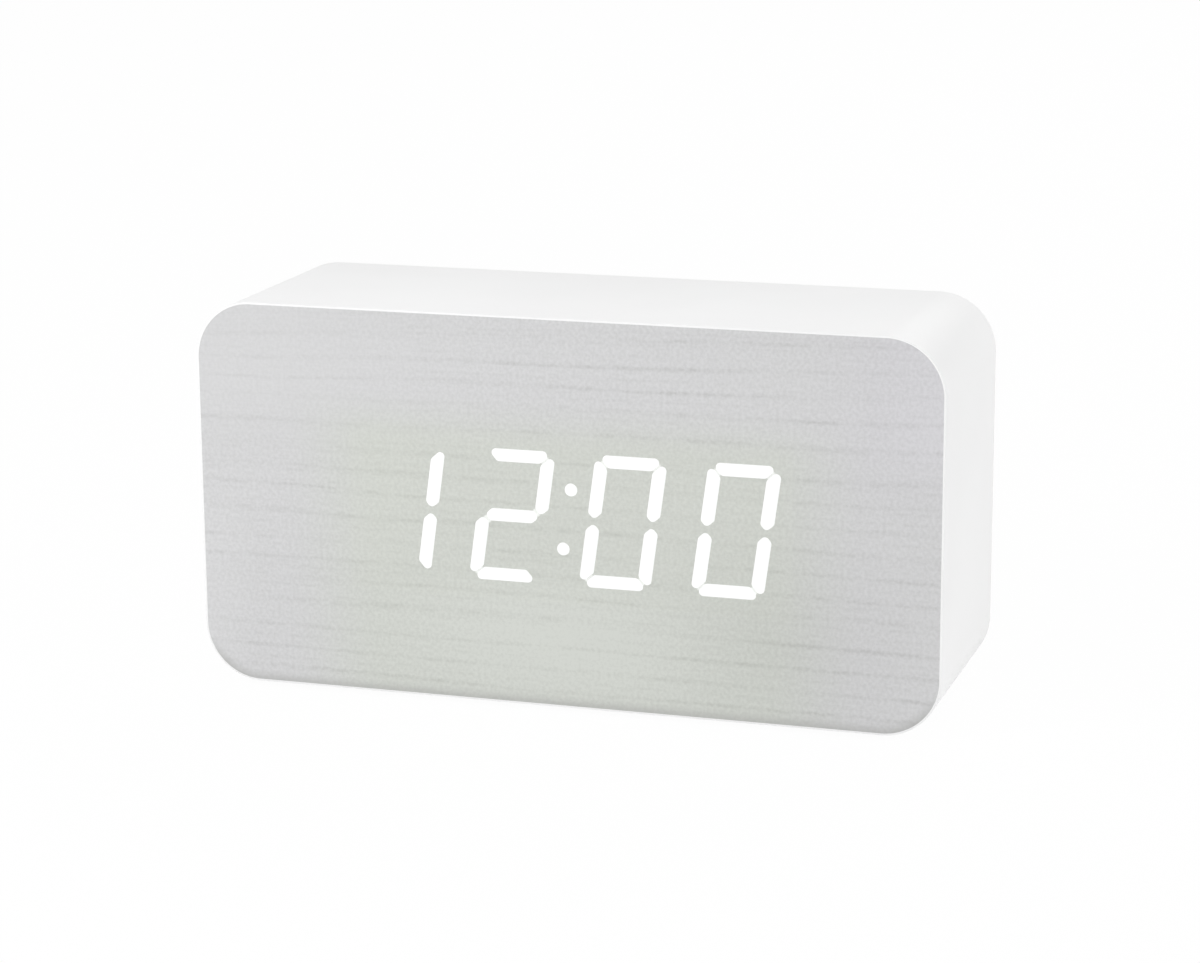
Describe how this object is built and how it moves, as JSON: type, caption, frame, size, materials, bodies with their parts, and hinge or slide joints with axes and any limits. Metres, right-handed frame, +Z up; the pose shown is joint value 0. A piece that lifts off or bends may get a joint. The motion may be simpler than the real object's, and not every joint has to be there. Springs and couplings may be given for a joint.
{
  "type": "wooden alarm clock",
  "caption": "Rounded box digital clock in a white film wrap with a wood-grain front, lit bar digits, rear keys, power socket and battery bay.",
  "frame": {"origin": "centre of the bounding box on the plane that the feet stand on", "axes": "+X to the right of a person who reads the display, -Y out of the display, +Z up"},
  "size_m": [0.15, 0.048, 0.078],
  "materials": {
    "fibreboard": "sanded fibreboard",
    "white_film": "smooth matte white film",
    "grain_film": "matte film with a fine horizontal wood grain",
    "pine": "sawn pine",
    "foot_rubber": "soft matte rubber",
    "reflector_plastic": "moulded pale plastic",
    "lit_resin": "milky resin, lit white",
    "unlit_resin": "milky resin, unlit",
    "led_resin": "clear yellow resin over a chip",
    "circuit_board": "green solder mask",
    "spacer_plastic": "natural nylon",
    "zinc_steel": "zinc plated",
    "chip_epoxy": "moulded black epoxy",
    "can_steel": "drawn steel can",
    "capacitor_sleeve": "shrunk dark blue sleeve",
    "holder_plastic": "moulded black plastic",
    "cell_steel": "bright cell can",
    "ribbon_vinyl": "grey ribbon",
    "lead_vinyl": "red insulation",
    "cover_plastic": "fine textured white plastic",
    "plunger_plastic": "natural plastic",
    "button_plastic": "smooth pale grey plastic",
    "contact_steel": "nickel plated spring steel",
    "cell_sleeve": "plain printed sleeve"
  },
  "bodies": {
    "case": {"case_sleeve": "fibreboard", "wrap_film": "white_film", "front_panel": "fibreboard", "front_veneer": "grain_film", "corner_blocks": "pine", "rubber_feet": "foot_rubber", "display_reflector": "reflector_plastic", "hour_tens_bars": "lit_resin", "hour_units_bars": "lit_resin", "minute_tens_bars": "lit_resin", "minute_units_bars": "lit_resin", "unlit_bars": "unlit_resin", "colon_dots": "lit_resin", "led_chips": "led_resin", "display_board": "circuit_board", "board_spacers": "spacer_plastic", "board_screws": "zinc_steel", "driver_chip": "chip_epoxy", "clock_chip": "chip_epoxy", "crystal": "can_steel", "capacitor": "capacitor_sleeve", "coin_cell_holder": "holder_plastic", "coin_cell": "cell_steel", "sound_sensor": "can_steel", "ribbon_sockets": "spacer_plastic", "ribbon_lead": "ribbon_vinyl", "battery_leads": "lead_vinyl", "rear_cover": "cover_plastic", "rear_screws": "zinc_steel", "key_board": "circuit_board", "key_board_screws": "zinc_steel", "switch_bodies": "chip_epoxy", "power_socket": "can_steel", "socket_tongue": "holder_plastic", "buzzer": "holder_plastic", "temperature_sensor": "chip_epoxy", "contact_plates": "contact_steel", "contact_springs": "contact_steel", "battery_cells": "cell_sleeve"},
    "door": {"battery_door": "cover_plastic"},
    "set_key": {"set_button": "button_plastic", "set_plunger": "plunger_plastic"},
    "up_key": {"up_button": "button_plastic", "up_plunger": "plunger_plastic"},
    "down_key": {"down_button": "button_plastic", "down_plunger": "plunger_plastic"}
  },
  "joints": [
    {"name": "door_hinge", "type": "hinge", "parent": "case", "child": "door", "pos_m": [0.0314, 0.0215, 0.05685], "axis": [1, 0, 0], "range_deg": [0, 75]},
    {"name": "set_press", "type": "slide", "parent": "case", "child": "set_key", "axis": [0, -1, 0], "range_m": [0, 0.0005], "stiffness_N_per_m": 600, "springref_m": -0.001},
    {"name": "up_press", "type": "slide", "parent": "case", "child": "up_key", "axis": [0, -1, 0], "range_m": [0, 0.0005], "stiffness_N_per_m": 600, "springref_m": -0.001},
    {"name": "down_press", "type": "slide", "parent": "case", "child": "down_key", "axis": [0, -1, 0], "range_m": [0, 0.0005], "stiffness_N_per_m": 600, "springref_m": -0.001}
  ]
}
